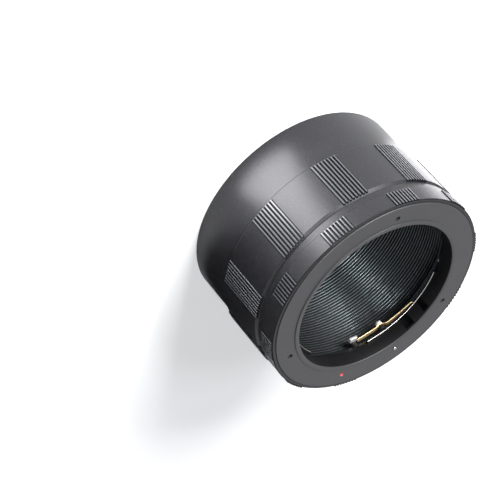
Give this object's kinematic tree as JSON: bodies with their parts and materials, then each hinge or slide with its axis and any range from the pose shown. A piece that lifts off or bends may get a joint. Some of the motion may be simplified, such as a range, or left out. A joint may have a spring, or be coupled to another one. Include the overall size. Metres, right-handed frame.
{
  "type": "macro extension tube",
  "caption": "Knurled black tube that spaces a camera lens from the body for close-up work, with a screw-on bayonet ring, leaf springs and a sprung lock pin.",
  "frame": {"origin": "on the optical axis, in the plane of the rear (camera-side) end on which the tube stands", "axes": "+Z along the optical axis, out of the lens mount; the tube is turned about Z so that the lens lock is near +Y"},
  "size_m": [0.0656, 0.0661, 0.0392],
  "materials": {
    "tube_black": "black anodised, fine blast, satin",
    "ring_black": "black anodised, fine blast, satin",
    "face_grey": "black anodised, fine turned, matt",
    "keeper_black": "black anodised, matt",
    "spring_brass": "rolled, bright",
    "screw_steel": "nickel plated",
    "screw_black": "blackened steel",
    "index_red": "red enamel",
    "pin_steel": "ground, bright",
    "slider_black": "black anodised, satin"
  },
  "bodies": {
    "tube": {"extension_tube": "tube_black"},
    "ring": {"mount_ring": "ring_black", "bayonet_flange": "face_grey", "face_screw_1": "screw_black", "face_screw_2": "screw_black", "face_screw_3": "screw_black", "index_dot": "index_red", "keeper_ring": "keeper_black", "keeper_screw_1": "screw_steel", "keeper_screw_2": "screw_steel", "keeper_screw_3": "screw_steel", "leaf_spring_1": "spring_brass", "leaf_spring_2": "spring_brass", "leaf_spring_3": "spring_brass", "spring_screw_1": "screw_steel", "spring_screw_2": "screw_steel", "spring_screw_3": "screw_steel", "stop_screw": "screw_steel", "lock_spring": "screw_steel"},
    "release": {"lock_pin": "pin_steel", "pin_carrier": "spring_brass", "release_slider": "slider_black", "slider_screw": "screw_steel"}
  },
  "joints": [
    {"name": "ring_unscrew", "type": "slide", "parent": "tube", "child": "ring", "axis": [0, 0, 1], "range_m": [0, 0.0028]},
    {"name": "lock_release", "type": "slide", "parent": "ring", "child": "release", "axis": [0, 0, -1], "range_m": [0, 0.0012], "stiffness_N_per_m": 300, "springref_m": -0.002, "deforming": ["lock_spring"]}
  ]
}
